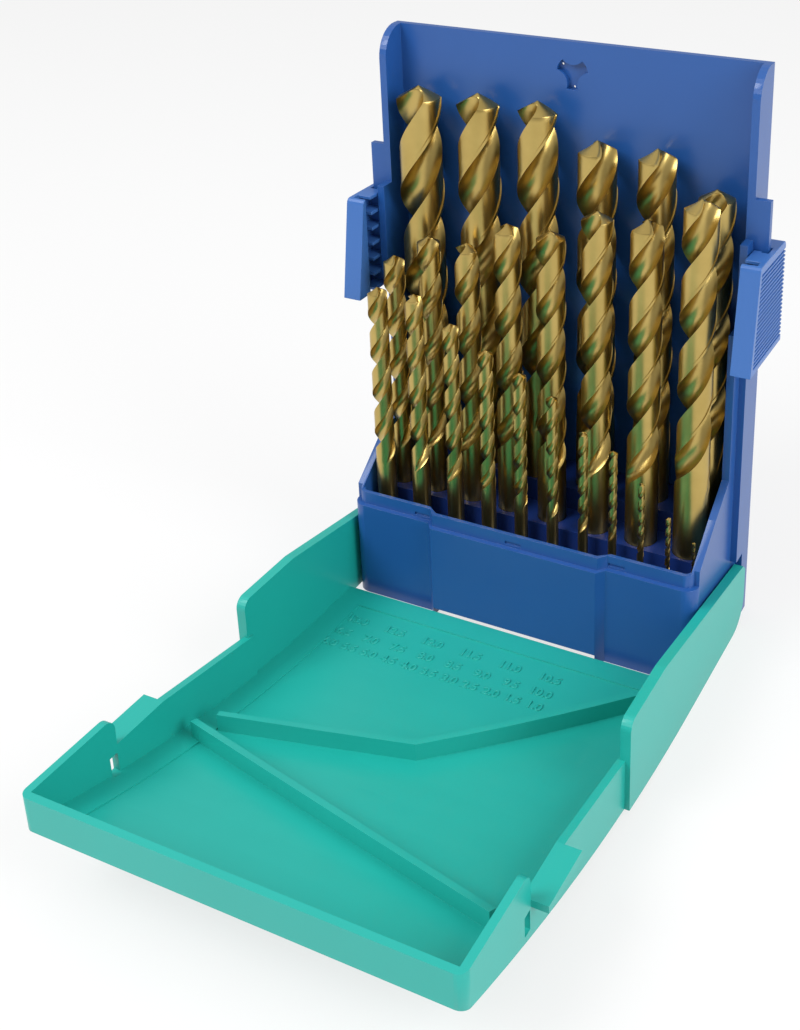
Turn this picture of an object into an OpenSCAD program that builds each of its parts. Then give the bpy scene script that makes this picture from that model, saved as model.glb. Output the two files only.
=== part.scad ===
// Drill bit case for 25 twist drills, 1 to 13 mm by half millimetres.
// A standing case body holds the drills in three stepped rows. The lid is a tray that hinges on two
// moulded pins low on the body sides and lies flat in front of it when open. Two grip latches slide
// up the body sides and clasp the lid tabs against the body's latch rails.
// Frame: +Z up, +X to the right seen from the front, -Y to the front. The origin is the centre of
// the flat bottom face of the case body. Depths named from_front are measured back from the front wall.

/* [Case body] */
// Width over the side walls
body_w = 114; // [108:0.1:120]
// Depth from the front wall to the outer face of the back plate
body_d = 42; // [39:0.1:48]
// Height of the back plate
body_h = 170; // [166:0.5:190]
// Thickness of the back plate and the side walls
wall = 2.2; // [1.6:0.1:2.4]
// Thickness of the front wall of the drill pocket
front_wall_t = 2.7; // [2.4:0.1:2.8]
// Thickness of the bottom of the drill pocket
bottom_t = 2; // [1.4:0.1:2.6]
// Width of the drill pocket, narrower than the body so that the lid wings pass outside it
pocket_w = 110; // [105:0.1:116]
// Height of the outer ledge of the pocket rim
rim_h = 31; // [27:0.5:32]
// Height of the inner lip above the rim ledge
lip_h = 4; // [2:0.5:4.5]
// Width of the rim ledge in front of the lip
ledge_w = 1.5; // [0.8:0.1:1.7]
// How far the middle of the front wall stands forward
bulge_d = 2.4; // [1:0.1:2.6]
// Width of the forward middle of the front wall
bulge_w = 53; // [40:1:70]
// Radius of the rounded front corners of the pocket
pocket_r = 4; // [3.5:0.5:5]
// Height of the notch under the forward middle of the front wall
notch_h = 3; // [2:0.1:4]
// Depth from_front of the notch
notch_d = 3.2; // [1:0.1:3.4]
// Length of each of the three shallow slots low on the lip's front
catch_w = 5; // [3:0.1:8]
// Height of those slots
catch_h = 1; // [0.6:0.1:1.6]

/* [Side walls] */
// Depth from_front of the middle front edge of the side walls
mid_edge = 26.5; // [23.5:0.1:27.5]
// Depth of the upper side walls in front of the back plate's outer face
top_edge = 11; // [10.5:0.1:11.5]
// Depth from_front of the bend in the sloping front edge above the rim
slope_y0 = 16; // [12:0.5:20]
// Height of that bend
slope_z0 = 45; // [40:0.5:48]
// Height where the sloping front edge reaches the middle edge
slope_z1 = 52; // [50:0.5:60]
// Height of the step from the middle edge to the upper edge
step_z = 124; // [121:0.5:128]
// Radius of the rounded top of the side walls
top_r = 8.8; // [4:0.1:8.8]
// Height of the recess in the body sides that clears the lid wings
recess_h = 95; // [92:0.5:98]

/* [Drills] */
// Clearance around each drill shank in its hole
hole_gap = 0.1; // [0.05:0.01:0.15]
// Helix angle of the flutes
helix = 36; // [25:1:40]
// Full angle of the drill points
point_angle = 120; // [118:1:135]

/* [Drill holder] */
// Distance of the back row of holes in front of the back plate's outer face
row_back = 10; // [9.8:0.1:10.2]
// Distance of the middle row in front of the back row
row_mid = 12.6; // [12.2:0.1:12.8]
// Distance of the front row in front of the middle row
row_front = 9.4; // [9:0.1:9.6]
// Height of the front step
step_front = 24; // [18:0.5:26]
// Height of the middle step
step_mid = 31; // [28:0.5:34]
// Height of the back step
step_back = 38; // [35:0.5:44]
// Height of the hole floors in the front row
seat_front = 6.5; // [4:0.1:8]
// Height of the hole floors in the middle row
seat_mid = 5; // [4:0.1:8]
// Height of the hole floors in the back row
seat_back = 3.5; // [3.2:0.1:6]
// Distance from the outermost holes' edges to the pocket's inner side walls
row_margin = 1.4; // [1:0.1:3]

/* [Lid] */
// Thickness of the lid floor
lid_t = 2.4; // [1.8:0.1:2.6]
// Thickness of the lid side walls and end wall
lid_wall = 2; // [1.6:0.1:2.1]
// Height of the middle rim of the lid side walls, level with the tabs
mid_rim = 22.8; // [21.5:0.1:23.4]
// Height of the lid side walls beside the front ends of the wings, from where they rise to the tabs
wing_rim = 17.6; // [14:0.1:20]
// Radius of the lid's rounded far corners
lid_corner_r = 2.5; // [1:0.1:4]
// Extra thickness of the lid wings over the lid side walls
wing_extra = 0.8; // [0.4:0.1:1]
// Gap between the lid wings and the pocket sides
side_gap = 0.6; // [0.3:0.1:0.8]
// Height of the wings at their rear end
wing_rear_h = 20; // [19:0.5:20.5]
// Height of the wings at their highest place
wing_h = 29.4; // [27:0.1:29.6]
// Radius of the wings' rounded rear lower corner
wing_corner = 9; // [6:0.5:12]
// Distance forward of the front wall to the bend in the wings' top edge
wing_bend = 30; // [20:1:40]
// Rise of the lid's outer face at its far end
lid_rise = 21; // [15:0.5:21.5]
// Distance forward of the front wall where the lid's outer face starts to rise
rise_start = 10; // [5:1:20]
// Depth of the shallow panel moulded into the lid floor
panel_t = 0.4; // [0.2:0.1:0.6]
// Width of the raised border left at the sides of the floor panel
panel_border = 7; // [4:0.5:10]
// Height of the stop rib nearer the hinge above the lid floor
rib_low_h = 4.8; // [3:0.1:5]
// Height of the stop rib nearer the lid's end above the lid floor
rib_high_h = 5; // [3:0.1:5.5]
// Thickness of the stop ribs
rib_t = 2; // [1.2:0.1:2.6]

/* [Hinge] */
// Radius of the moulded hinge pins
pin_r = 2; // [1.5:0.1:2.2]
// Radial clearance of the hinge pins
pin_gap = 0.08; // [0.05:0.01:0.1]
// Depth of the blind hinge bores
bore_depth = 1.8; // [1.2:0.1:1.9]

/* [Latches] */
// Height of each latch
latch_h = 30; // [28:0.5:30]
// Travel of each latch from released to locked
latch_travel = 16; // [12:0.5:16]
// How much further forward the foot of each latch stands than its top
latch_lean = 4.5; // [2:0.1:6]
// Wall thickness of the latches
latch_wall = 1.5; // [1.4:0.1:1.8]
// Running clearance of the latches on their rails
latch_gap = 0.3; // [0.2:0.05:0.3]
// How far the lid tabs and the latch rails stand out from the body side
tab_out = 4.3; // [3.9:0.1:4.5]
// Thickness of the lid tabs and latch rails
tab_t = 2; // [1.8:0.1:2.2]
// Length of each lid tab
tab_len = 17; // [14:0.5:17]
// Number of grip ribs on each latch
grip_n = 22; // [8:1:24]

/* [Hang hole] */
// Distance of the knock-out for a hang hole, at its centre, below the top of the back plate
hang_z = 9; // [8:0.5:12]
// Radius of the knock-out
hang_r = 4.8; // [4.5:0.1:5]
// Thickness of the web left at the back of the knock-out
hang_web = 0.6; // [0.4:0.1:1]
// How far the three petals reach into the knock-out
petal = 2.4; // [2:0.1:2.8]
// Width of each petal at the edge of the knock-out
petal_w = 6; // [5:0.1:7]

/* [Hidden] */
eps = 0.01;
// A fit between flat faces of two moving pieces
run_gap = 0.3;
$fn = 64;

// Drill sizes and their overall and flute lengths, row by row, from the left
BACK_ROW = [[13, 151, 101], [12.5, 151, 101], [12, 151, 101], [11.5, 142, 94], [11, 142, 94],
            [10.5, 133, 87]];
MID_ROW = [[6.5, 101, 63], [7, 109, 69], [7.5, 109, 69], [8, 117, 75], [8.5, 117, 75],
           [9, 125, 81], [9.5, 125, 81], [10, 133, 87]];
FRONT_ROW = [[6, 93, 57], [5.5, 93, 57], [5, 86, 52], [4.5, 80, 47], [4, 75, 43], [3.5, 70, 39],
             [3, 61, 33], [2.5, 57, 30], [2, 49, 24], [1.5, 40, 18], [1, 34, 12]];

// Body
front = -body_d / 2;
back = body_d / 2;
body_x = body_w / 2;
body_in = body_x - wall;
pocket_x = pocket_w / 2;
pocket_in = pocket_x - wall;
flat_x = pocket_x - pocket_r;
bulge_x = bulge_w / 2;
bulge_ramp = 2;
notch_wall = 1.6;
lip_z = rim_h + lip_h;
top_y = body_d - top_edge;
shelf_z = recess_h + wall;
// The drills stand inside the walls of the pocket and of the body above it. The lid and the latches
// go by whichever of the two is wider.
hole_in = min(pocket_in, body_in);
side_x = max(pocket_x, body_x);

// Depths from_front of the rows of holes
back_y = body_d - row_back;
mid_y = back_y - row_mid;
front_y = mid_y - row_front;

// Hinge: the pivot lies as far behind the front wall as it stands above the table, so the lid's
// outer face, flat on the table when open, is flush with the front wall when closed
wing_clear = 0.3;
wing_room = 1.6;
pivot_h = 18;
pivot_y = front + pivot_h;
pivot_sum = 2 * pivot_h;

// Lid, laid flat: from_front distances in front of the body are negative. The tray is as wide as
// the body; the wings beside the pocket stand a little outside it.
tray_x = side_x;
tray_in = tray_x - lid_wall;
lid_in = pocket_x + side_gap;
wing_x = lid_in + lid_wall + wing_extra;
floor_back = -(bulge_d + 0.5);
lid_end = pivot_sum - body_h;
wing_back = pivot_sum - wing_clear;
wing_front = -53;
far_rim = top_y - run_gap;
tab_start = pivot_sum - step_z;
tab_end = tab_start - tab_len;
tab_slot_w = 2.6;
tab_slot_h = 5.5;
tab_slot_gap = 0.4;

// Latches and their rails
rail_x = side_x + tab_out;
rail_top = step_z + 11.5;
rail_head = 0.8;
rail_head_w = 1.4;
latch_z = pivot_sum - wing_front + 2.5;
rail_z0 = latch_z - 1.5;
latch_in = side_x + 0.4;
latch_pocket_x = rail_x + latch_gap;
latch_x = latch_pocket_x + latch_wall;
latch_top_y = mid_rim - tab_t - latch_gap - latch_wall;
latch_low_y = latch_top_y - latch_lean;
latch_back = top_y + 10.5;
// Closed, the high rib's right end stands this far above the tip of the longest middle drill
high_rib_over = 6.2;
high_rib_end = pivot_sum - (seat_mid + MID_ROW[7][1]) - rib_t / 2 - high_rib_over;

// x places of the holes in a row: equal gaps between neighbouring holes
function diameters(row) = [for (d = row) d[0]];
function sum(v, n) = n <= 0 ? 0 : v[n - 1] + sum(v, n - 1);
function row_gap(row) =
    (2 * (hole_in - row_margin) - sum(diameters(row), len(row))) / (len(row) - 1);
function hole_x(row, i) =
    -(hole_in - row_margin) + sum(diameters(row), i) + row[i][0] / 2 + i * row_gap(row);

// Height of the lid's outer face above the table at a distance y in front of the body
function rise(y) = y > -rise_start ? 0
    : lid_rise * pow((-y - rise_start) / (-lid_end - rise_start), 2);
// Places where the curve of the outer face is drawn through: one of them is the wings' front end
wing_steps = 5;
tray_steps = 9;
rise_ys = concat(
    [for (i = [0:wing_steps]) -rise_start + i * (wing_front + rise_start) / wing_steps],
    [for (i = [1:tray_steps]) wing_front + i * (lid_end - wing_front) / tray_steps]);
rise_last = len(rise_ys) - 1;

// A solid drawn in the side view (from_front, height) and spread from x0 to x1
module side_slab(x0, x1) {
    translate([x0, front, 0]) rotate([90, 0, 90]) linear_extrude(x1 - x0) children();
}

// The same solid on the left and the right
module both_sides() {
    children();
    mirror([1, 0, 0]) children();
}

// ---- Case body ----

// Front edge of a side wall, from the foot up: rim ledge, lip, slope, middle edge, step, upper edge
module side_wall_outline() {
    arc_z = body_h - top_r;
    arc_y = top_y + top_r;
    polygon(concat(
        [[body_d, 0], [0, 0], [0, rim_h], [ledge_w, rim_h], [ledge_w, lip_z],
         [pocket_r - 1, lip_z], [slope_y0, slope_z0], [mid_edge, slope_z1], [mid_edge, step_z],
         [top_y, step_z]],
        [for (a = [0:9:90]) [arc_y - top_r * cos(a), arc_z + top_r * sin(a)]],
        [[body_d, body_h]]));
}

// Cuts away what stands outside a corner of radius r, whose arc is centred on (0, 0)
module outside_corner(r, h) {
    difference() {
        translate([0, -pocket_r - 1, 0]) cube([pocket_r + 1, pocket_r + 1, h]);
        translate([0, 0, -1]) cylinder(r = r, h = h + 2);
    }
}

module side_wall() {
    difference() {
        union() {
            side_slab(body_in, body_x) side_wall_outline();
            intersection() {
                side_slab(hole_in, side_x) side_wall_outline();
                translate([0, front - 1, -1]) cube([2 * side_x, body_d + 2, shelf_z + 1]);
            }
        }
        // Recess that the lid wing swings in
        translate([pocket_x, front - 1, -1])
            cube([side_x, wing_h + wing_room + 1, recess_h + 1]);
        translate([pocket_x, front - 1, -1])
            cube([side_x, wing_back + 2 * wing_clear + 1, wing_rear_h + 3.5]);
        // Blind bore of the hinge
        translate([pocket_x - bore_depth, pivot_y, pivot_h]) rotate([0, 90, 0])
            cylinder(r = pin_r + pin_gap, h = bore_depth + 1);
        // Rounded front corner of the pocket, stepped back at the ledge
        translate([flat_x, front + pocket_r, -1]) outside_corner(pocket_r, lip_z + 2);
        translate([flat_x, front + pocket_r, rim_h])
            outside_corner(pocket_r - ledge_w, lip_h + 2);
    }
}

module latch_rail() {
    stem_in = min(body_x, side_x) - eps;
    translate([stem_in, front + top_y, rail_z0])
        cube([rail_x - stem_in, tab_t, rail_top - rail_z0]);
    translate([rail_x - rail_head_w, front + top_y - rail_head, rail_z0])
        cube([rail_head_w, tab_t + 2 * rail_head, latch_h]);
}

// The front wall seen from above, with its middle set forward, between the depths y0 and y1
module front_outline(y0, y1) {
    outer = bulge_x + bulge_ramp;
    polygon([[-flat_x, y0], [-outer, y0], [-bulge_x, y0 - bulge_d], [bulge_x, y0 - bulge_d],
             [outer, y0], [flat_x, y0], [flat_x, y1], [outer + 0.6, y1],
             [bulge_x - 0.6, y1 - bulge_d], [-bulge_x + 0.6, y1 - bulge_d],
             [-outer - 0.6, y1], [-flat_x, y1]]);
}

// A quarter of a ring, for a rounded front corner
module corner_ring(r_out, r_in, h) {
    intersection() {
        difference() {
            cylinder(r = r_out, h = h);
            translate([0, 0, -1]) cylinder(r = r_in, h = h + 2);
        }
        translate([0, -r_out, 0]) cube([r_out, r_out, h]);
    }
}

module front_wall() {
    translate([0, front, 0]) {
        linear_extrude(rim_h) front_outline(0, front_wall_t);
        linear_extrude(lip_z) front_outline(ledge_w, front_wall_t);
    }
    both_sides()
        translate([flat_x, front + pocket_r, 0]) {
            corner_ring(pocket_r, pocket_r - front_wall_t, rim_h);
            corner_ring(pocket_r - ledge_w, pocket_r - front_wall_t, lip_z);
        }
}

// Three shallow slots low on the lip: one in the middle and one beside each end of the bulge
module lip_slots() {
    slot_x = bulge_x + bulge_ramp + 0.3 + catch_w / 2;
    for (i = [-1, 0, 1])
        translate([i * slot_x - catch_w / 2, front + ledge_w - 1 - (i == 0 ? bulge_d : 0),
                   rim_h + 0.7])
            cube([catch_w, 1.5, catch_h]);
}

// Front wall and bottom of the pocket, with the notch under the forward middle
module pocket_front() {
    difference() {
        union() {
            front_wall();
            translate([-pocket_x + wall / 2, front + pocket_r, 0])
                cube([pocket_w - wall, body_d - pocket_r - wall / 2, bottom_t]);
            translate([-flat_x, front + wall / 2, 0]) cube([2 * flat_x, pocket_r, bottom_t]);
            both_sides() translate([flat_x, front + pocket_r, 0])
                cylinder(r = pocket_r - wall / 2, h = bottom_t);
            translate([-bulge_x - notch_wall, front, 0])
                cube([bulge_w + 2 * notch_wall, notch_d + notch_wall, notch_h + notch_wall]);
        }
        translate([-bulge_x, front - bulge_d - 1, -1])
            cube([bulge_w, notch_d + bulge_d + 1, notch_h + 1]);
        lip_slots();
    }
}

// Knock-out for a hang hole: a round recess with three petals left standing and a thin web behind
module hang_recess() {
    half_w = petal_w / 2;
    outer_sag = hang_r - sqrt(hang_r * hang_r - half_w * half_w);
    inner_sag = petal - outer_sag;
    petal_r = (half_w * half_w + inner_sag * inner_sag) / (2 * inner_sag);
    pinhole_r = 0.35;
    difference() {
        cylinder(r = hang_r, h = wall);
        for (a = [90, 210, 330]) rotate(a) translate([hang_r - petal + petal_r, 0, -1])
            cylinder(r = petal_r, h = wall + 2);
    }
    for (a = [30, 150, 270]) rotate(a) translate([hang_r - 2 * pinhole_r, 0, -wall])
        cylinder(r = pinhole_r, h = 2 * wall, $fn = 12);
}

module back_plate() {
    difference() {
        union() {
            translate([-body_x, back - wall, 0]) cube([body_w, wall, body_h]);
            translate([-side_x, back - wall, 0]) cube([2 * side_x, wall, shelf_z]);
        }
        translate([0, back - hang_web, body_h - hang_z]) rotate([90, 0, 0]) hang_recess();
        both_sides() translate([pocket_x, front - 1, -1])
            cube([side_x, wing_back + 2 * wing_clear + 1, wing_rear_h + 3.5]);
    }
}

module case_body() {
    color([0.26, 0.41, 0.67]) {
        back_plate();
        both_sides() {
            side_wall();
            latch_rail();
        }
        pocket_front();
    }
}

// ---- Drill holder: one stepped block with a hole for each drill ----

module holes(row, y, seat) {
    for (i = [0:len(row) - 1])
        translate([hole_x(row, i), front + y, seat])
            cylinder(r = row[i][0] / 2 + hole_gap, h = body_h, $fn = 32);
}

module drill_holder() {
    fit = 0.3;
    hx = hole_in - fit;
    strip_x = flat_x - fit;
    y_front = front_wall_t + fit;
    y_corner = max(front_wall_t, pocket_r) + fit;
    y_fm = (front_y + FRONT_ROW[0][0] / 2 + mid_y - MID_ROW[7][0] / 2) / 2;
    y_mb = (mid_y + MID_ROW[7][0] / 2 + back_y - BACK_ROW[0][0] / 2) / 2;
    y_end = body_d - wall - fit;
    color([0.2, 0.33, 0.6])
        difference() {
            union() {
                translate([-strip_x, front + y_front, bottom_t])
                    cube([2 * strip_x, y_end - y_front, step_front - bottom_t]);
                translate([-hx, front + y_corner, bottom_t])
                    cube([2 * hx, y_end - y_corner, step_front - bottom_t]);
                translate([-hx, front + y_fm, bottom_t])
                    cube([2 * hx, y_end - y_fm, step_mid - bottom_t]);
                translate([-hx, front + y_mb, bottom_t])
                    cube([2 * hx, y_end - y_mb, step_back - bottom_t]);
            }
            // Room for the ceiling and the rear wall of the notch in the body's front
            translate([-bulge_x - notch_wall - fit, front - 1, 0])
                cube([bulge_w + 2 * (notch_wall + fit), notch_d + notch_wall + fit + 1,
                      notch_h + notch_wall + fit]);
            holes(FRONT_ROW, front_y, seat_front);
            holes(MID_ROW, mid_y, seat_mid);
            holes(BACK_ROW, back_y, seat_back);
        }
}

// ---- Lid ----

// Band under the lid from y0 to y1, as thick as t, in the side view
module floor_band(t) {
    polygon(concat([[floor_back, 0]], [for (y = rise_ys) [y, rise(y)]],
                   [for (i = [rise_last:-1:0]) [rise_ys[i], rise(rise_ys[i]) + t]],
                   [[floor_back, t]]));
}

// Side wall of the tray in front of the wings: the low rim, the level place of the tab, the far rim
module lid_wall_outline() {
    r = 3;
    polygon(concat([[wing_front + lid_wall, rise(wing_front) + lid_t / 2]],
                   [for (y = rise_ys) if (y < wing_front + eps) [y, rise(y)]],
                   [[lid_end, far_rim]],
                   [for (a = [90:-15:0]) [tab_end - r + r * cos(a), far_rim - r + r * sin(a)]],
                   [[tab_end, mid_rim], [tab_start, mid_rim], [wing_front, wing_rim],
                    [wing_front + lid_wall, wing_rim]]));
}

module wing_outline() {
    r = 3;
    c = wing_corner;
    polygon(concat([for (a = [0:-15:-90]) [wing_back - c + c * cos(a), c + c * sin(a)]],
                   [for (y = rise_ys) if (y > wing_front - eps) [y, rise(y)]],
                   [for (a = [180:-15:90]) [wing_front + r + r * cos(a), wing_h - r + r * sin(a)]],
                   [[-wing_bend, wing_h], [wing_back - 2, wing_rear_h], [wing_back, wing_rear_h - 2]]));
}

module lid_tab() {
    root = tray_x - lid_wall / 2;
    translate([root, front + tab_end, mid_rim - tab_t]) cube([rail_x - root, tab_len, tab_t]);
}

// Point i of a line moved sideways by w, so that the moved line keeps its distance at every bend
function beside(points, i, w) =
    let (last = len(points) - 1,
         n1 = left_of(points[max(i, 1) - 1], points[max(i, 1)]),
         n2 = left_of(points[min(i, last - 1)], points[min(i, last - 1) + 1]))
    points[i] + w * (n1 + n2) / (1 + n1 * n2);
function left_of(a, b) = [a[1] - b[1], b[0] - a[0]] / norm(b - a);

// Stop rib on the lid floor along a line of (x, from_front) points. Its top follows the floor.
module rib(points, h) {
    last = len(points) - 1;
    intersection() {
        side_slab(-tray_x, tray_x) floor_band(lid_t + h);
        translate([0, front, 0]) linear_extrude(body_h)
            polygon(concat([for (i = [0:last]) beside(points, i, -rib_t / 2)],
                           [for (i = [last:-1:0]) beside(points, i, rib_t / 2)]));
    }
}

// Floor under a wing, from the lid's rear edge to the front end of the wing
module wing_floor() {
    intersection() {
        side_slab(tray_in - lid_wall, wing_x) floor_band(lid_t);
        translate([0, front + wing_front, -1])
            cube([wing_x + 1, floor_back - wing_front, body_h]);
    }
}

// Short cross wall that joins the front end of a wing to the tray's side wall
module wing_step() {
    x0 = min(tray_in, lid_in);
    z0 = rise(wing_front) + lid_t / 2;
    translate([x0, front + wing_front, z0])
        cube([max(tray_x, wing_x) - x0, lid_wall, wing_rim - z0]);
}

module lid_shell() {
    difference() {
        union() {
            side_slab(-tray_x, tray_x) floor_band(lid_t - panel_t);
            both_sides() {
                side_slab(tray_in - panel_border, tray_x) floor_band(lid_t);
                side_slab(tray_in, tray_x) lid_wall_outline();
            }
            // Raised border along the back edge of the floor
            translate([-tray_x, front + floor_back - panel_border, 0])
                cube([2 * tray_x, panel_border, lid_t]);
            // End wall
            translate([-tray_x, front + lid_end, lid_rise])
                cube([2 * tray_x, lid_wall, far_rim - lid_rise]);
        }
        both_sides() {
            // Slot in the side wall beside the end of the tab
            translate([tray_in - 1, front + tab_end - tab_slot_w - tab_slot_gap,
                       mid_rim - tab_t - tab_slot_h - tab_slot_gap])
                cube([lid_wall + 2, tab_slot_w, tab_slot_h]);
            // Rounded far corner
            translate([tray_x - lid_corner_r, front + lid_end + lid_corner_r, 0])
                difference() {
                    translate([0, -lid_corner_r - 1, -1])
                        cube([lid_corner_r + 1, lid_corner_r + 1, body_d]);
                    translate([0, 0, -2]) cylinder(r = lid_corner_r, h = body_d + 4, $fn = 32);
                }
        }
    }
    both_sides() {
        side_slab(lid_in, wing_x) wing_outline();
        wing_floor();
        wing_step();
        lid_tab();
        translate([pocket_x - bore_depth + run_gap, pivot_y, pivot_h]) rotate([0, 90, 0])
            cylinder(r = pin_r, h = lid_in + lid_wall / 2 - (pocket_x - bore_depth + run_gap));
    }
}

module lid() {
    // Closed, the low rib lies over the front row's tips and the high rib over the middle row's
    low_ends = [[-tray_in + 7.4, -77], [3, -62.5], [tray_in - 10, -17.5]];
    high_ends = [[-tray_in + 4.4, -83], [tray_in - 5, high_rib_end]];
    color([0.18, 0.69, 0.63]) {
        lid_shell();
        rib(low_ends, rib_low_h);
        rib(high_ends, rib_high_h);
    }
}

// ---- Latches ----

// Side view of a latch: its front face leans forward to the foot and its top corners are rounded
module latch_outline() {
    r = 1.5;
    z1 = latch_z + latch_h;
    polygon(concat([[latch_low_y, latch_z]],
                   [for (a = [180:-30:90]) [latch_top_y + r + r * cos(a), z1 - r + r * sin(a)]],
                   [for (a = [90:-30:0]) [latch_back - r + r * cos(a), z1 - r + r * sin(a)]],
                   [[latch_back, latch_z]]));
}

module latch_shape() {
    tab_y0 = latch_top_y + latch_wall;
    tab_y1 = tab_y0 + tab_t + 2 * latch_gap;
    rail_y0 = top_y - rail_head - latch_gap;
    rail_y1 = top_y + tab_t + rail_head + latch_gap;
    way_w = latch_pocket_x - latch_in + 1;
    difference() {
        translate([latch_in, front, 0]) rotate([90, 0, 90])
            linear_extrude(latch_x - latch_in) latch_outline();
        // Way for the lid tab, behind the front wall
        translate([latch_in - 1, front + tab_y0, latch_z - 1])
            cube([way_w, tab_y1 - tab_y0, latch_h + 2]);
        // Way for the stem and the head of the latch rail
        translate([latch_in - 1, front + top_y - latch_gap, latch_z - 1])
            cube([way_w, tab_t + 2 * latch_gap, latch_h + 2]);
        translate([rail_x - rail_head_w - latch_gap, front + rail_y0, latch_z - 1])
            cube([rail_head_w + 2 * latch_gap, rail_y1 - rail_y0, latch_h + 2]);
        // Hollows between the inner ribs, open to the tab's way
        latch_hollows(tab_y1 - eps, rail_y0 - 0.8);
        latch_hollows(rail_y1 + 0.8, latch_back - 1.4);
        grip_grooves();
    }
}

module latch_hollows(y0, y1) {
    n = 6;
    rib_w = 1;
    pitch = (latch_h - rib_w) / n;
    for (i = [0:n - 1])
        translate([latch_in - 1, front + y0, latch_z + rib_w + i * pitch])
            cube([latch_pocket_x - latch_in + 1, y1 - y0, pitch - rib_w]);
}

// Level grooves in the outer face. They start the same way behind the leaning front face.
module grip_grooves() {
    margin = 1.8;
    edge = 2;
    pitch = (latch_h - 2 * margin) / grip_n;
    for (i = [0:grip_n - 1]) {
        y0 = latch_low_y + latch_lean * (margin + i * pitch) / latch_h + edge;
        translate([latch_x - 0.5, front + y0, latch_z + margin + i * pitch])
            cube([1, latch_back - y0 + 1, pitch / 2]);
    }
}

module latch_right() {
    color([0.29, 0.46, 0.73]) latch_shape();
}

module latch_left() {
    color([0.29, 0.46, 0.73]) mirror([1, 0, 0]) latch_shape();
}

// ---- Drills ----

// Cross section of the fluted part: two lands with a flute between them
module flute_section(r) {
    half = [[-36, 1], [0, 1], [36, 1], [84, 0.42]];
    polygon([for (side = [0, 180]) for (p = half) r * p[1] * [cos(p[0] + side), sin(p[0] + side)]]);
}

module drill(d, length, flute) {
    r = d / 2;
    lead = PI * d / tan(helix);
    tip = r / tan(point_angle / 2);
    body = flute - tip;
    turn = 360 * body / lead;
    // The lands stand a little inside the shank's surface, and each stretch starts inside the last
    land_r = 0.985 * r;
    tip_r = 0.96 * r;
    sink = 0.05 * d;
    cylinder(r = r, h = length - flute, $fn = 32);
    translate([0, 0, length - flute - sink])
        linear_extrude(body + sink, twist = -turn, slices = ceil(turn / 45), $fn = 6)
            flute_section(land_r);
    translate([0, 0, length - tip - sink])
        rotate(turn) linear_extrude(tip + sink, scale = 0.16) flute_section(tip_r);
}

module row_drill(row, i, y, seat) {
    color([0.78, 0.66, 0.36])
        translate([hole_x(row, i), front + y, seat]) drill(row[i][0], row[i][1], row[i][2]);
}

module back_drill(i) { row_drill(BACK_ROW, i, back_y, seat_back); }
module mid_drill(i) { row_drill(MID_ROW, i, mid_y, seat_mid); }
module front_drill(i) { row_drill(FRONT_ROW, i, front_y, seat_front); }

case_body();
drill_holder();
lid();
latch_left();
latch_right();
back_drill(0);  // drill_13_0
back_drill(1);  // drill_12_5
back_drill(2);  // drill_12_0
back_drill(3);  // drill_11_5
back_drill(4);  // drill_11_0
back_drill(5);  // drill_10_5
mid_drill(0);  // drill_6_5
mid_drill(1);  // drill_7_0
mid_drill(2);  // drill_7_5
mid_drill(3);  // drill_8_0
mid_drill(4);  // drill_8_5
mid_drill(5);  // drill_9_0
mid_drill(6);  // drill_9_5
mid_drill(7);  // drill_10_0
front_drill(0);  // drill_6_0
front_drill(1);  // drill_5_5
front_drill(2);  // drill_5_0
front_drill(3);  // drill_4_5
front_drill(4);  // drill_4_0
front_drill(5);  // drill_3_5
front_drill(6);  // drill_3_0
front_drill(7);  // drill_2_5
front_drill(8);  // drill_2_0
front_drill(9);  // drill_1_5
front_drill(10);  // drill_1_0
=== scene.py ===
# %% [markdown]
# # A drill bit case in Blender
# The object is a small plastic case that stands on its flat bottom, with twenty-five
# gold-coloured twist drills in three stepped rows. Its tray lid lies open in front, and two
# ribbed latches wait on its sides. The measured solids come in as a fixed frame. This lesson
# gives them soft moulded edges and real finishes, and replaces the coarse drills with ones
# ground the way drills are.

import math

import bmesh
import bpy
from mathutils import Matrix, Vector


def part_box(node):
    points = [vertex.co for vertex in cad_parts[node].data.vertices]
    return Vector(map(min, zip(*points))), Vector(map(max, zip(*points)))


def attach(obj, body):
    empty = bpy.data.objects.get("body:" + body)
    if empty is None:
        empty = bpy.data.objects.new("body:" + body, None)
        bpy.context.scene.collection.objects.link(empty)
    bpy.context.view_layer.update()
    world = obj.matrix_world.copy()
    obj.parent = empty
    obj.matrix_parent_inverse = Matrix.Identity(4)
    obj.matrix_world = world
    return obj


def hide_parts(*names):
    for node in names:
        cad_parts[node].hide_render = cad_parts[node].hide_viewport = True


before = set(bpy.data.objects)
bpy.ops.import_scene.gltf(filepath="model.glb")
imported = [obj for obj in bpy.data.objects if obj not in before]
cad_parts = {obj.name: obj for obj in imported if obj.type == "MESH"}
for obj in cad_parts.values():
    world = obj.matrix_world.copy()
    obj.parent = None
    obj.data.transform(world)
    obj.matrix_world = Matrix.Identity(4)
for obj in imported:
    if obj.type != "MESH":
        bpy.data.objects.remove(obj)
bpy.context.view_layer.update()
MM = 0.001

# %% [markdown]
# The photograph was taken from the right and from above, close to the object, so lines run
# together strongly. A camera with the same place, direction and focal length gives the same
# lines. A shift of the lens puts the object where it stands in the picture.

# %% The camera
CAMERA_PLACE = Vector((159.25, -328.05, 263.51)) * MM
CAMERA_LOOK = Vector((-0.39401, 0.83838, -0.37667))
CAMERA_RIGHT = Vector((0.90542, 0.42451, -0.00224))
LENS_MM = 49.53
LENS_SHIFT = (-0.1557, -0.2573)
CLIP_START, CLIP_END = 0.01, 20


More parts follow.
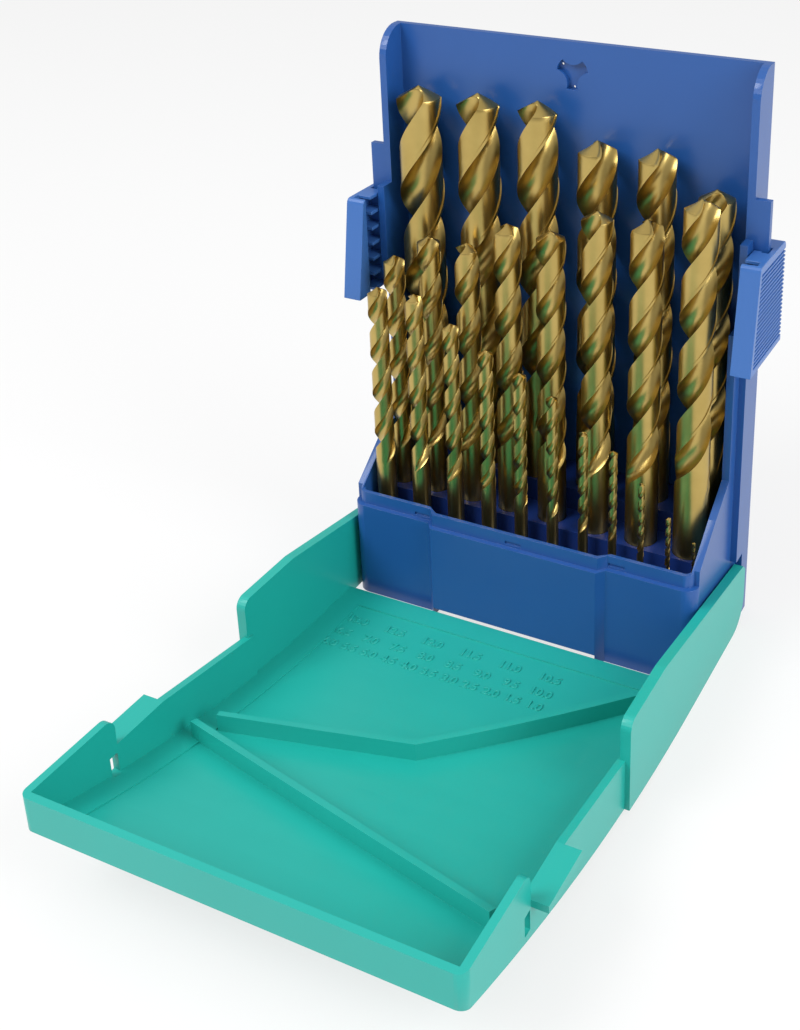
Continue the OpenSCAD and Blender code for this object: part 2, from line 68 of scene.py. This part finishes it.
def add_camera():
    back = -CAMERA_LOOK.normalized()
    right = (CAMERA_RIGHT - back * CAMERA_RIGHT.dot(back)).normalized()
    up = back.cross(right)
    data = bpy.data.cameras.new("camera")
    data.lens = LENS_MM
    data.shift_x, data.shift_y = LENS_SHIFT
    data.clip_start, data.clip_end = CLIP_START, CLIP_END
    camera = bpy.data.objects.new("camera", data)
    bpy.context.scene.collection.objects.link(camera)
    turn = Matrix((right, up, back)).transposed().to_4x4()
    camera.matrix_world = Matrix.Translation(CAMERA_PLACE) @ turn
    bpy.context.scene.camera = camera
    return camera


camera = add_camera()
bpy.context.scene.view_settings.view_transform = "Standard"
print("camera at", [round(v, 3) for v in camera.matrix_world.translation])

# %% [markdown]
# Every finish here is a Principled shader with a little procedural relief. Three helpers keep
# the cells short. One turns a colour that was picked as 8-bit screen values into the linear
# values a shader wants. One adds a node and sets its sockets by name. One starts a material.


# %% Helpers for materials
def screen_colour(r, g, b):
    def linear(v):
        v /= 255
        return v / 12.92 if v <= 0.04045 else ((v + 0.055) / 1.055) ** 2.4

    return (linear(r), linear(g), linear(b), 1.0)


def add_node(tree, kind, **sockets):
    node = tree.nodes.new(kind)
    for name, value in sockets.items():
        node.inputs[name.replace("_", " ")].default_value = value
    return node


def new_material(name):
    material = bpy.data.materials.new(name)
    material.use_nodes = True
    return material, material.node_tree, material.node_tree.nodes["Principled BSDF"]


def mix_colours(tree, factor, low, high):
    mix = tree.nodes.new("ShaderNodeMix")
    mix.data_type = "RGBA"
    mix.inputs["A"].default_value = low
    mix.inputs["B"].default_value = high
    tree.links.new(factor, mix.inputs["Factor"])
    return mix.outputs["Result"]


def set_gloss(tree, shader, factor, least, most):
    gloss = add_node(tree, "ShaderNodeMapRange", To_Min=least, To_Max=most)
    tree.links.new(factor, gloss.inputs["Value"])
    tree.links.new(gloss.outputs["Result"], shader.inputs["Roughness"])


def set_relief(tree, shader, height, strength, distance):
    bump = add_node(tree, "ShaderNodeBump", Strength=strength, Distance=distance)
    tree.links.new(height, bump.inputs["Height"])
    tree.links.new(bump.outputs["Normal"], shader.inputs["Normal"])


print("white on a screen is", screen_colour(255, 255, 255), "in a shader")

# %% [markdown]
# Injection-moulded plastic has a fine spark-eroded texture, so highlights are broad and soft.
# Large, faint clouds in colour and gloss come from the flow of the melt and from handling. A
# noise at two sizes drives both: the small one as bump, the large one as a slight change in
# colour and roughness. The lid's floor also has a few fine scratches from the drills.

# %% Moulded plastic
CLOUD_SCALE = 28.0
GLOSS_DOWN, GLOSS_UP = 0.05, 0.06
GRAIN_SIZE = 0.4 * MM
GRAIN_RELIEF, GRAIN_DEPTH = 0.05, 0.2 * MM
SCRATCH_SCALE = (900.0, 60.0, 60.0)
SCRATCH_TURN = (0.0, 0.0, 0.6)
SCRATCH_FROM, SCRATCH_TO = 0.66, 0.72
PLASTIC_IOR = 1.5


def scratched(tree, place, height, scratches):
    """Take rare thin lines out of a height."""
    link = tree.links.new
    stretch = add_node(tree, "ShaderNodeMapping", Scale=SCRATCH_SCALE, Rotation=SCRATCH_TURN)
    link(place, stretch.inputs["Vector"])
    lines = add_node(tree, "ShaderNodeTexNoise", Scale=1.0, Detail=2.0)
    link(stretch.outputs["Vector"], lines.inputs["Vector"])
    rare = add_node(tree, "ShaderNodeMapRange", From_Min=SCRATCH_FROM, From_Max=SCRATCH_TO)
    link(lines.outputs["Fac"], rare.inputs["Value"])
    joined = tree.nodes.new("ShaderNodeMath")
    joined.operation = "MULTIPLY_ADD"
    joined.inputs[1].default_value = -scratches
    link(rare.outputs["Result"], joined.inputs[0])
    link(height, joined.inputs[2])
    return joined.outputs["Value"]


def moulded_plastic(name, colour, deep, roughness, scratches=0.0):
    material, tree, shader = new_material(name)
    link = tree.links.new
    place = tree.nodes.new("ShaderNodeTexCoord").outputs["Object"]
    clouds = add_node(
        tree, "ShaderNodeTexNoise", Scale=CLOUD_SCALE, Detail=3.0, Roughness=0.55
    )
    link(place, clouds.inputs["Vector"])
    cloud = clouds.outputs["Fac"]
    link(mix_colours(tree, cloud, deep, colour), shader.inputs["Base Color"])
    set_gloss(tree, shader, cloud, roughness - GLOSS_DOWN, roughness + GLOSS_UP)
    fine = add_node(tree, "ShaderNodeTexNoise", Scale=1.0 / GRAIN_SIZE, Detail=2.0)
    link(place, fine.inputs["Vector"])
    height = fine.outputs["Fac"]
    if scratches:
        height = scratched(tree, place, height, scratches)
    set_relief(tree, shader, height, GRAIN_RELIEF, GRAIN_DEPTH)
    shader.inputs["IOR"].default_value = PLASTIC_IOR
    return material


BLUE = moulded_plastic(
    "case_blue_plastic", screen_colour(36, 86, 156), screen_colour(32, 79, 147), 0.3
)
# The holder's darker blue is painted shade. It is the same blue plastic as the case, darkened
# because the holder sits down in the pocket.
HOLDER_PAINTED_SHADE = moulded_plastic(
    "holder_blue_painted_shade", screen_colour(26, 56, 128), screen_colour(23, 50, 119), 0.38
)
# The latches' lighter blue is painted light. It is the same blue plastic as the case, made
# lighter for the light that falls on their outward faces.
LATCH_PAINTED_LIGHT = moulded_plastic(
    "latch_blue_painted_light", screen_colour(60, 108, 178), screen_colour(54, 100, 168), 0.3
)
GREEN = moulded_plastic(
    "lid_green_plastic", screen_colour(31, 172, 161), screen_colour(26, 163, 152), 0.36,
    scratches=0.8,
)
print("plastics:", BLUE.name, HOLDER_PAINTED_SHADE.name, LATCH_PAINTED_LIGHT.name, GREEN.name)

# %% [markdown]
# The drills have a gold-coloured coating over ground steel. It is a metal, so its colour lives
# in the reflection. Grinding leaves very fine rings round the drill, which stretch the
# highlight, and the coating varies a little along the drill. Noise that is squeezed along the
# drill's axis gives the rings.

# %% Gold-coloured coated steel
GOLD_DEEP = screen_colour(166, 141, 76)
GOLD_BRIGHT = screen_colour(210, 184, 114)
TINT_SCALE = 90.0
RING_SCALE = (120.0, 120.0, 5200.0)
GOLD_GLOSS = (0.25, 0.37)
RING_RELIEF, RING_DEPTH = 0.05, 0.1 * MM


def coated_steel():
    material, tree, shader = new_material("gold_coated_steel")
    link = tree.links.new
    place = tree.nodes.new("ShaderNodeTexCoord").outputs["Object"]
    clouds = add_node(tree, "ShaderNodeTexNoise", Scale=TINT_SCALE, Detail=4.0)
    link(place, clouds.inputs["Vector"])
    tint = mix_colours(tree, clouds.outputs["Fac"], GOLD_DEEP, GOLD_BRIGHT)
    link(tint, shader.inputs["Base Color"])
    squeeze = add_node(tree, "ShaderNodeMapping", Scale=RING_SCALE)
    link(place, squeeze.inputs["Vector"])
    rings = add_node(tree, "ShaderNodeTexNoise", Scale=1.0, Detail=3.0)
    link(squeeze.outputs["Vector"], rings.inputs["Vector"])
    set_gloss(tree, shader, rings.outputs["Fac"], *GOLD_GLOSS)
    set_relief(tree, shader, rings.outputs["Fac"], RING_RELIEF, RING_DEPTH)
    shader.inputs["Metallic"].default_value = 1.0
    return material


GOLD = coated_steel()
print("metal:", GOLD.name)

# %% [markdown]
# The moulded pieces already have their exact shape in the frame, so they stay. What they lack
# is the small round on every edge that a mould leaves and that catches the light. Three
# modifiers give it without changing the frame's own mesh: one joins the seams, one melts the
# flat triangles into whole faces, and one rounds the sharp edges.

# %% Soft edges and finishes on the moulded pieces
SEAM_MM = 0.002
FLAT_DEG = 0.5
SHARP_DEG = 35
EDGE_SEGMENTS = 2


def finish_moulding(node, material, edge_mm):
    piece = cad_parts[node]
    weld = piece.modifiers.new("join", "WELD")
    weld.merge_threshold = SEAM_MM * MM
    flat = piece.modifiers.new("flat", "DECIMATE")
    flat.decimate_type = "DISSOLVE"
    flat.angle_limit = math.radians(FLAT_DEG)
    edge = piece.modifiers.new("edge", "BEVEL")
    edge.width = edge_mm * MM
    edge.segments = EDGE_SEGMENTS
    edge.limit_method = "ANGLE"
    edge.angle_limit = math.radians(SHARP_DEG)
    edge.use_clamp_overlap = True
    edge.harden_normals = True
    for slot in piece.material_slots:
        slot.material = material
    return piece


moulded = [
    finish_moulding("case_body", BLUE, 0.35),
    finish_moulding("drill_holder", HOLDER_PAINTED_SHADE, 0.3),
    finish_moulding("lid", GREEN, 0.35),
    finish_moulding("latch_left", LATCH_PAINTED_LIGHT, 0.2),
    finish_moulding("latch_right", LATCH_PAINTED_LIGHT, 0.2),
]
print("moulded pieces:", len(moulded))

# %% [markdown]
# A drill is known by its diameter, its overall length and the length of its flutes, here in
# millimetres. The rows are listed from the left. All the drills share one helix angle and one
# point angle, as drills of one make do.

# %% Sizes of the drills
BACK_ROW = [
    (13, 151, 101), (12.5, 151, 101), (12, 151, 101), (11.5, 142, 94), (11, 142, 94),
    (10.5, 133, 87),
]
MIDDLE_ROW = [
    (6.5, 101, 63), (7, 109, 69), (7.5, 109, 69), (8, 117, 75),
    (8.5, 117, 75), (9, 125, 81), (9.5, 125, 81), (10, 133, 87),
]
FRONT_ROW = [
    (6, 93, 57), (5.5, 93, 57), (5, 86, 52), (4.5, 80, 47), (4, 75, 43), (3.5, 70, 39),
    (3, 61, 33), (2.5, 57, 30), (2, 49, 24), (1.5, 40, 18), (1, 34, 12),
]
HELIX_DEG = 36
POINT_DEG = 120
print("drills in the rows:", len(BACK_ROW), len(MIDDLE_ROW), len(FRONT_ROW))

# %% [markdown]
# A twist drill is a round rod with two flutes ground along a helix. Its cross section is the
# same all the way up the fluted part and only turns. Each half of it is the round hollow of a
# flute, the slightly lower back of the land and the narrow full-radius margin behind the
# cutting edge. Towards the shank the grinding wheel lifts out, so the centre of the hollow
# moves outwards until the hollow is gone. Lengths in this cell are shares of the drill's
# radius.

# %% The cross section
FLUTE_RADIUS = 0.76
FLUTE_CENTRE = 0.94
LAND_RELIEF = 0.045
MARGIN_WIDTH = math.radians(9)
FLUTE_POINTS = 13
LAND_POINTS = 9
MARGIN_POINTS = 3


def section(depth):
    """Points round the section, counter-clockwise, for flutes from no depth (0) to full (1)."""
    rho = FLUTE_RADIUS
    c = FLUTE_CENTRE + (1 + rho - FLUTE_CENTRE) * (1 - depth)
    land = 1 - LAND_RELIEF * depth
    lip = math.acos((1 + c * c - rho * rho) / (2 * c))
    heel = math.acos((land * land + c * c - rho * rho) / (2 * c * land))
    first = math.atan2(math.sin(lip), c - math.cos(lip))
    last = math.atan2(land * math.sin(heel), c - land * math.cos(heel))
    margin = math.pi - lip - MARGIN_WIDTH
    half = []
    for i in range(FLUTE_POINTS):
        t = -first + (first + last) * i / (FLUTE_POINTS - 1)
        half.append((c - rho * math.cos(t), rho * math.sin(t)))
    for i in range(1, LAND_POINTS + 1):
        a = heel + (margin - heel) * i / LAND_POINTS
        half.append((land * math.cos(a), land * math.sin(a)))
    for i in range(MARGIN_POINTS):
        a = margin + MARGIN_WIDTH * i / MARGIN_POINTS
        half.append((math.cos(a), math.sin(a)))
    return half + [(-x, -y) for x, y in half]


print("points round a drill:", len(section(1.0)))

# %% [markdown]
# The drill's mesh is a stack of such rings. Each ring turns with its height. At the tip a ring
# is cut by the cone of the point, which leaves the true cutting edges. On the shank the rings
# are round, but keep their points where the first shallow ring of the flutes has them.

# %% The stack of rings
RINGS_PER_TURN = 44
TIP_RINGS = 14
SHALLOW = 0.03  # least depth of the flutes, where the wheel first touches
RUN_OUT = 1.3  # diameters from there to the full depth
CHAMFER = 0.05  # diameters, the height of the chamfer at the foot
FOOT_SHARE = 0.94  # of the radius, inside that chamfer
TIP_SHARE = 0.01  # of the radius, left flat at the very tip


def smooth(t):
    t = min(max(t, 0.0), 1.0)
    return t * t * (3 - 2 * t)


def ring_heights(d, length, start, tip, lead):
    step = lead / RINGS_PER_TURN
    heights = [0.0, CHAMFER * d, start * 0.5, start]
    z = start + step / 2
    while z < length - tip - step / 4:
        heights.append(z)
        z += step
    return heights + [length - tip * (1 - k / TIP_RINGS) for k in range(TIP_RINGS + 1)]


def drill_rings(d, length, flute, phase):
    r = d / 2
    lead = math.pi * d / math.tan(math.radians(HELIX_DEG))
    spread = math.tan(math.radians(POINT_DEG / 2))
    start = length - flute
    rings = []
    for z in ring_heights(d, length, start, r / spread, lead):
        points = section(max(smooth((z - start) / (RUN_OUT * d)), SHALLOW))
        turn = phase + 2 * math.pi * max(z - start, 0.0) / lead
        cone = (length - z) * spread + TIP_SHARE * r
        round_share = FOOT_SHARE if z == 0.0 else 1.0
        ring = []
        for x, y in points:
            share = round_share if z <= start else math.hypot(x, y)
            rho = min(r * share, cone)
            a = math.atan2(y, x) + turn
            ring.append((rho * math.cos(a), rho * math.sin(a), z))
        rings.append(ring)
    return rings


print("rings on the largest drill:", len(drill_rings(*BACK_ROW[0], 0.0)))

# %% [markdown]
# Each ground drill takes the place of the coarse one with the same name and rides on its body.
# No two stand turned the same way, so every next drill starts a golden angle further round.

# %% The drills
GOLDEN_ANGLE = math.radians(137.5)
CREASE_DEG = 32


def node_name(d):
    return "drill_%d_%d" % (int(d), round(10 * (d - int(d))))


def add_drill(d, length, flute, index):
    low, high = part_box(node_name(d))
    foot = Vector(((low[0] + high[0]) / 2, (low[1] + high[1]) / 2, low[2]))
    mesh = bpy.data.meshes.new("twist_" + node_name(d))
    build = bmesh.new()
    rings = [
        [build.verts.new(foot + Vector(point) * MM) for point in ring]
        for ring in drill_rings(d, length, flute, index * GOLDEN_ANGLE)
    ]
    for lower, upper in zip(rings, rings[1:]):
        for k in range(len(lower)):
            n = (k + 1) % len(lower)
            build.faces.new((lower[k], lower[n], upper[n], upper[k]))
    build.faces.new(list(reversed(rings[0])))
    build.faces.new(rings[-1])
    build.to_mesh(mesh)
    build.free()
    mesh.materials.append(GOLD)
    mesh.shade_smooth()
    mesh.set_sharp_from_angle(angle=math.radians(CREASE_DEG))
    drill = bpy.data.objects.new(mesh.name, mesh)
    bpy.context.scene.collection.objects.link(drill)
    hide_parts(node_name(d))
    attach(drill, node_name(d))
    return drill


all_sizes = BACK_ROW + MIDDLE_ROW + FRONT_ROW
drills = [add_drill(*size, index) for index, size in enumerate(all_sizes)]
print("drills:", len(drills), "faces:", sum(len(d.data.polygons) for d in drills))

# %% [markdown]
# The lid's floor carries the drill sizes as raised numerals, one line for each row of drills,
# to be read from the front. Text objects make them, sunk slightly into the floor so that about
# a third of a millimetre stands up. A line is given by its row of drills, its distance in front
# of the body (negative) and the places of its first and last numerals, in millimetres.

# %% Raised size numerals on the lid
FRONT_OF_BODY = -21.0
NUMERAL_LINES = [
    (BACK_ROW, -16.2, -44.3, 19),
    (MIDDLE_ROW, -22.7, -45.1, 19.2),
    (FRONT_ROW, -28.6, -46.1, 20),
]
NUMERAL_HEIGHT = 4.0
NUMERAL_EXTRUDE = 0.25
NUMERAL_BEVEL = 0.1
NUMERAL_LIFT = 0.02
FLOOR_TOP = 2.0  # of the floor's shallow panel, before its rise
RISE_START = 10
RISE_LENGTH = 124
RISE_HEIGHT = 21


def lid_rise(y):
    """Rise of the lid's floor at a distance y in front of the body."""
    return 0.0 if y > -RISE_START else RISE_HEIGHT * ((-y - RISE_START) / RISE_LENGTH) ** 2


def add_numerals(row, y, x0, x1, index):
    made = []
    z = FLOOR_TOP + lid_rise(y) + NUMERAL_LIFT
    for i, size in enumerate(row):
        text = bpy.data.curves.new("numeral_%d_%d" % (index, i), "FONT")
        text.body = "%.1f" % size[0]
        text.size = NUMERAL_HEIGHT * MM
        text.extrude = NUMERAL_EXTRUDE * MM
        text.bevel_depth = NUMERAL_BEVEL * MM
        text.bevel_resolution = 1
        text.align_x = "CENTER"
        text.align_y = "CENTER"
        text.materials.append(GREEN)
        piece = bpy.data.objects.new(text.name, text)
        x = x0 + (x1 - x0) * i / (len(row) - 1)
        piece.location = Vector((x, y + FRONT_OF_BODY, z)) * MM
        bpy.context.scene.collection.objects.link(piece)
        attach(piece, "lid")
        made.append(piece)
    return made


numerals = [p for k, line in enumerate(NUMERAL_LINES) for p in add_numerals(*line, k)]
print("numerals:", len(numerals))

# %% [markdown]
# The studio is a pale floor that runs out of the picture, a surround that is dimmer near the
# horizon than overhead, and two large soft lamps. The floor looks white to the camera and in
# reflections, and still keeps the object's shadow.

# %% Floor, surround and lamps
FLOOR_SIZE = 8
FLOOR_DROP = 0.05 * MM
PAPER = (0.8, 0.8, 0.8, 1)
WHITE = (1, 1, 1, 1)
FLOOR_GLOW = 0.72
HORIZON_LIGHT, OVERHEAD_LIGHT = 0.3, 0.8
LAMP_TARGET = (0, -0.03, 0.06)


def add_floor():
    bpy.ops.mesh.primitive_plane_add(size=FLOOR_SIZE, location=(0, 0, -FLOOR_DROP))
    floor = bpy.context.object
    floor.name = "studio_floor"
    material = bpy.data.materials.new("studio_floor_white")
    material.use_nodes = True
    tree = material.node_tree
    tree.nodes.clear()
    link = tree.links.new
    out = tree.nodes.new("ShaderNodeOutputMaterial")
    paper = add_node(tree, "ShaderNodeBsdfDiffuse", Color=PAPER)
    glow = add_node(tree, "ShaderNodeEmission", Color=WHITE, Strength=1.0)
    rays = tree.nodes.new("ShaderNodeLightPath")
    seen = tree.nodes.new("ShaderNodeMath")
    seen.operation = "MAXIMUM"
    link(rays.outputs["Is Camera Ray"], seen.inputs[0])
    link(rays.outputs["Is Glossy Ray"], seen.inputs[1])
    share = tree.nodes.new("ShaderNodeMath")
    share.operation = "MULTIPLY"
    share.inputs[1].default_value = FLOOR_GLOW
    link(seen.outputs["Value"], share.inputs[0])
    mix = tree.nodes.new("ShaderNodeMixShader")
    link(share.outputs["Value"], mix.inputs["Fac"])
    link(paper.outputs["BSDF"], mix.inputs[1])
    link(glow.outputs["Emission"], mix.inputs[2])
    link(mix.outputs["Shader"], out.inputs["Surface"])
    floor.data.materials.append(material)
    return floor


def set_surround():
    world = bpy.data.worlds.new("studio_surround")
    bpy.context.scene.world = world
    world.use_nodes = True
    tree = world.node_tree
    link = tree.links.new
    back = tree.nodes["Background"]
    back.inputs["Color"].default_value = WHITE
    place = tree.nodes.new("ShaderNodeTexCoord")
    parts = tree.nodes.new("ShaderNodeSeparateXYZ")
    link(place.outputs["Generated"], parts.inputs["Vector"])
    sky = add_node(tree, "ShaderNodeMapRange", To_Min=HORIZON_LIGHT, To_Max=OVERHEAD_LIGHT)
    link(parts.outputs["Z"], sky.inputs["Value"])
    rays = tree.nodes.new("ShaderNodeLightPath")
    strength = tree.nodes.new("ShaderNodeMix")
    strength.inputs["B"].default_value = 1.0
    link(rays.outputs["Is Camera Ray"], strength.inputs["Factor"])
    link(sky.outputs["Result"], strength.inputs["A"])
    link(strength.outputs["Result"], back.inputs["Strength"])
    return world


def add_lamp(name, place, size, power):
    data = bpy.data.lights.new(name, "AREA")
    data.shape = "RECTANGLE"
    data.size, data.size_y = size
    data.energy = power
    lamp = bpy.data.objects.new(name, data)
    lamp.location = place
    aim = Vector(LAMP_TARGET) - Vector(place)
    lamp.rotation_euler = aim.to_track_quat("-Z", "Y").to_euler()
    bpy.context.scene.collection.objects.link(lamp)
    return lamp


floor = add_floor()
surround = set_surround()
lamps = [
    add_lamp("soft_key", (-0.5, -0.7, 0.9), (0.6, 0.6), 9),
    add_lamp("soft_side", (0.9, -0.2, 0.6), (0.5, 0.8), 7),
]
print("stage:", floor.name, surround.name, "lamps:", len(lamps))
